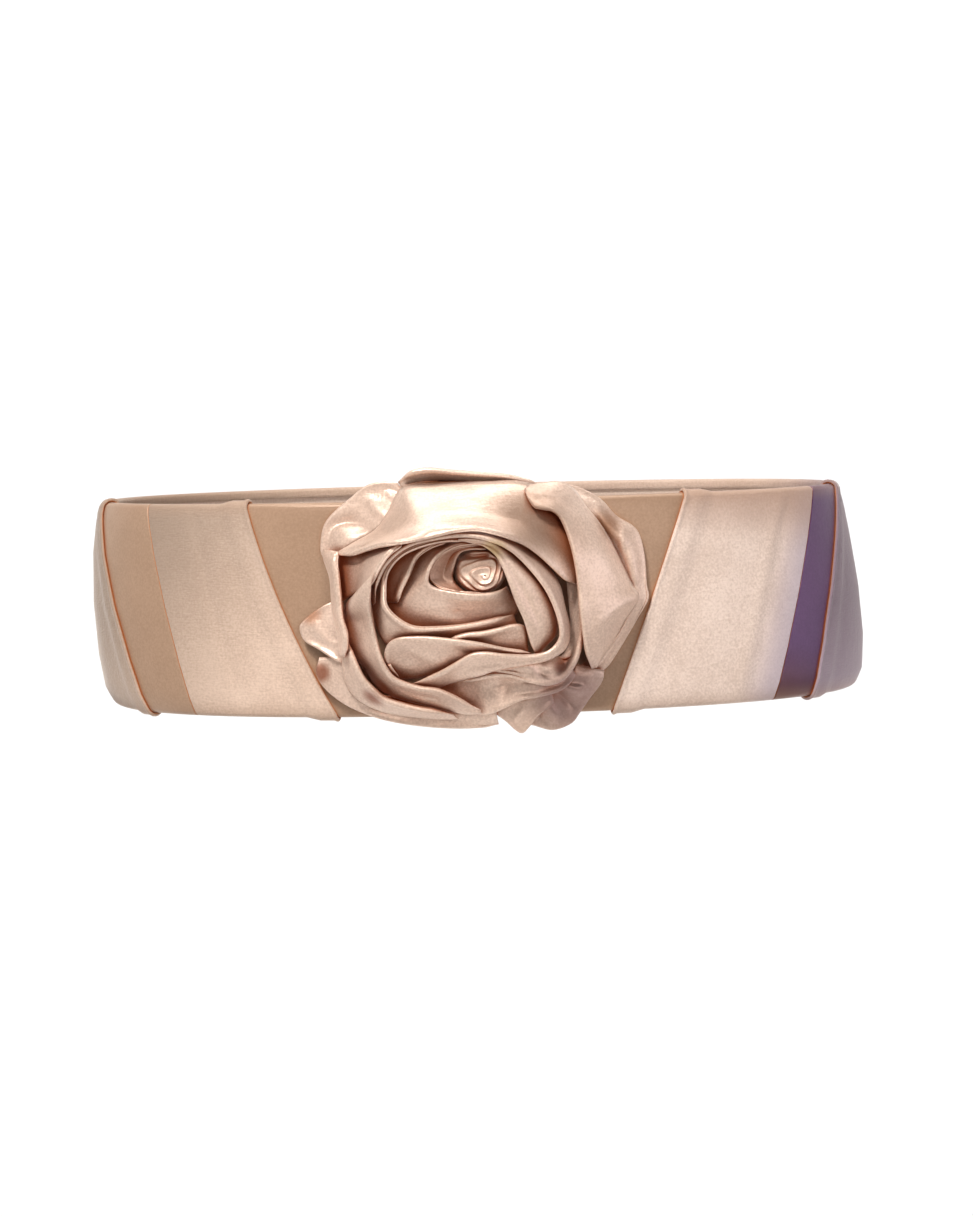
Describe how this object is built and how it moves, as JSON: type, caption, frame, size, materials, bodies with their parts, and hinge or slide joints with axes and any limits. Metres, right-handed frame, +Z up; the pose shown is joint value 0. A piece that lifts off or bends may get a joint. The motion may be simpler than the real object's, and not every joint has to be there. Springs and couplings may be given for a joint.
{
  "type": "satin belt",
  "caption": "Wide stiffened satin belt in its worn oval, dressed with slanting lapped panels, with a folded satin rose on the front and a hooked back.",
  "frame": {"origin": "middle of the ring at half its height, where the wearer's waist holds it", "axes": "+X to the right of the front view along the ring's width, -Y out of the front through the rose, +Z up along the waist"},
  "size_m": [0.2903, 0.2291, 0.0913],
  "materials": {
    "blush_crepe": "matte blush crepe back of satin with a fine grain",
    "deep_blush_satin": "smooth deep blush satin with a soft sheen",
    "plum_satin": "smooth plum satin, browner at the bottom",
    "rose_satin": "folded blush satin with bright fold edges and warm shadows",
    "band_cloth": "plain stiffened cloth",
    "hook_metal": "plain small hooks and bars"
  },
  "bodies": {
    "root": {"base_band": "band_cloth", "closure_underlap": "band_cloth", "side_panel_left": "blush_crepe", "front_panel_left": "blush_crepe", "front_panel_right": "blush_crepe", "side_panel_right": "blush_crepe", "dark_band_left": "deep_blush_satin", "centre_panel": "deep_blush_satin", "dark_band_right": "plum_satin", "rose_bud": "rose_satin", "hook_1": "hook_metal", "hook_bar_1": "hook_metal", "hook_2": "hook_metal", "hook_bar_2": "hook_metal", "hook_3": "hook_metal", "hook_bar_3": "hook_metal", "petal_right_edge": "rose_satin", "petal_lower_right": "rose_satin", "petal_bottom_tip": "rose_satin", "petal_lower_left": "rose_satin", "petal_left_tip": "rose_satin", "petal_upper_left": "rose_satin", "petal_top_tuck": "rose_satin", "petal_eye_inner": "rose_satin", "petal_eye": "rose_satin", "petal_second": "rose_satin", "petal_third": "rose_satin", "petal_below_bud": "rose_satin", "petal_leaf": "rose_satin", "petal_low_leaf": "rose_satin", "petal_outer_rim": "rose_satin", "petal_inner_right": "rose_satin", "petal_left_panel": "rose_satin", "petal_left": "rose_satin", "petal_top": "rose_satin", "petal_bottom": "rose_satin", "petal_right": "rose_satin", "petal_lower_fold": "rose_satin", "petal_left_fold": "rose_satin"}
  },
  "joints": []
}
